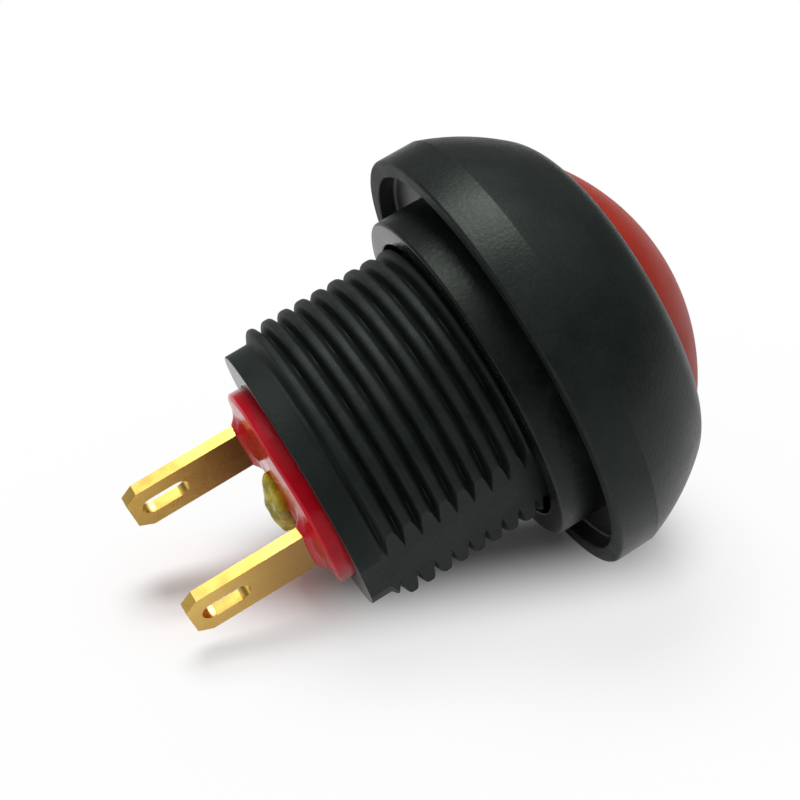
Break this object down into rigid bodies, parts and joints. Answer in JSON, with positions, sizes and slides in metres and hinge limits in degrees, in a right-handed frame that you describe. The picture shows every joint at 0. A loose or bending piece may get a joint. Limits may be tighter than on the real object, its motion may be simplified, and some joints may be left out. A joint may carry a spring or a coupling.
{
  "type": "pushbutton switch",
  "caption": "Round momentary pushbutton switch with a domed black head, red domed button, threaded panel barrel, rubber gasket, red potting and gilt solder lugs.",
  "frame": {"origin": "centre of the panel seat, in the plane of the rim's underside", "axes": "+Z along the barrel's axis, out through the button; the lugs stand apart along X"},
  "size_m": [0.018, 0.018, 0.0226],
  "materials": {
    "black_moulding": "fine moulded texture with a soft sheen",
    "black_rubber": "matte moulded rubber",
    "red_cap": "glossy moulded plastic",
    "pale_moulding": "natural moulded plastic",
    "brown_moulding": "pressed insulating board",
    "spring_steel": "drawn wire",
    "silvered_copper": "silvered sheet",
    "contact_silver": "bright contact face",
    "gilt_brass": "bright gold plating with fine rolling lines",
    "red_resin": "glossy cast resin"
  },
  "bodies": {
    "switch_body": {"housing": "black_moulding", "panel_gasket": "black_rubber", "stem_seal": "black_rubber", "seal_retainer": "pale_moulding", "return_spring": "spring_steel", "terminal_base": "brown_moulding", "terminal_left": "gilt_brass", "terminal_right": "gilt_brass", "fixed_contact_left": "contact_silver", "fixed_contact_right": "contact_silver", "potting": "red_resin"},
    "button": {"button_cap": "red_cap", "plunger_stem": "pale_moulding", "stop_clip": "spring_steel", "disc_clip": "spring_steel", "contact_spring": "spring_steel"},
    "contact": {"contact_disc": "silvered_copper"}
  },
  "joints": [
    {"name": "button_press", "type": "slide", "parent": "switch_body", "child": "button", "axis": [0, 0, -1], "range_m": [0, 0.0018], "stiffness_N_per_m": 600, "springref_m": -0.005, "deforming": ["return_spring"]},
    {"name": "contact_rise", "type": "slide", "parent": "button", "child": "contact", "axis": [0, 0, 1], "range_m": [0, 0.0006], "deforming": ["contact_spring"]}
  ],
  "couplings": [
    {"joint": "contact_rise", "follows": "button_press", "ratio": 0.3333}
  ]
}
